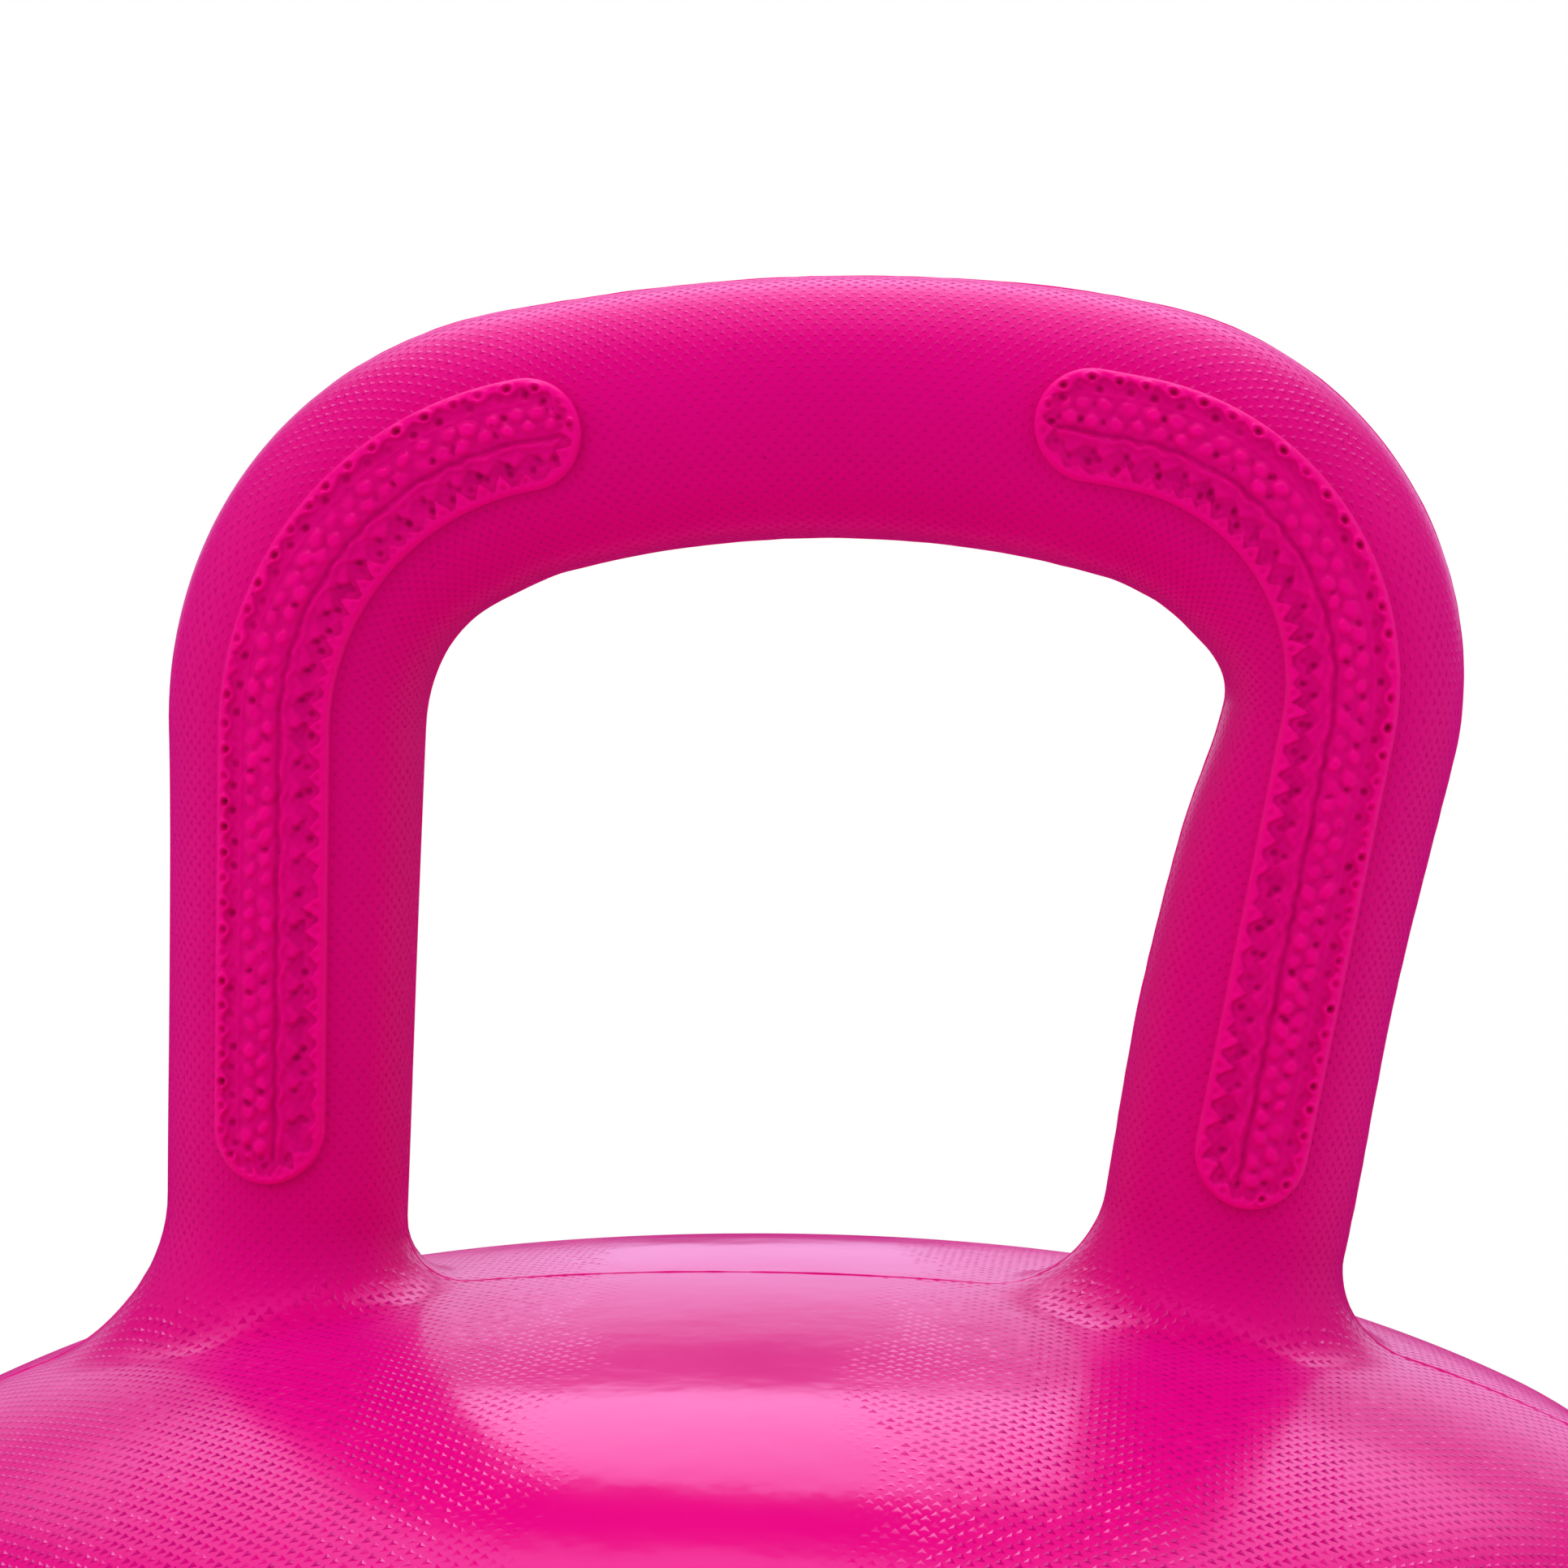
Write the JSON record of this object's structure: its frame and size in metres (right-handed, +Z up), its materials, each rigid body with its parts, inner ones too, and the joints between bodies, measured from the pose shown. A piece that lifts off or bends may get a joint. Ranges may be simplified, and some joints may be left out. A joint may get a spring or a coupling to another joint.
{
  "type": "kettlebell",
  "caption": "Vinyl-skinned kettlebell: squashed round body on a flat base, leaning loop handle with textured grip strips, cast core round a steel bar.",
  "frame": {"origin": "on the floor under the centre of the round body", "axes": "+Z up along the body's axis, +X along the handle's width towards the side that the handle leans to, -Y the front"},
  "size_m": [0.244, 0.244, 0.2609],
  "materials": {
    "vinyl_skin": "gloss",
    "grip_vinyl": "satin",
    "cast_mix": "matte",
    "bar_steel": "satin",
    "plug_plastic": "satin",
    "seal_rubber": "matte"
  },
  "bodies": {
    "root": {"shell": "vinyl_skin", "grip_strip_front_left": "grip_vinyl", "grip_strip_front_right": "grip_vinyl", "grip_strip_back_left": "grip_vinyl", "grip_strip_back_right": "grip_vinyl", "core_fill": "cast_mix", "handle_rod": "bar_steel", "filler_plug": "plug_plastic", "plug_seal": "seal_rubber", "base_ring": "seal_rubber"}
  },
  "joints": []
}
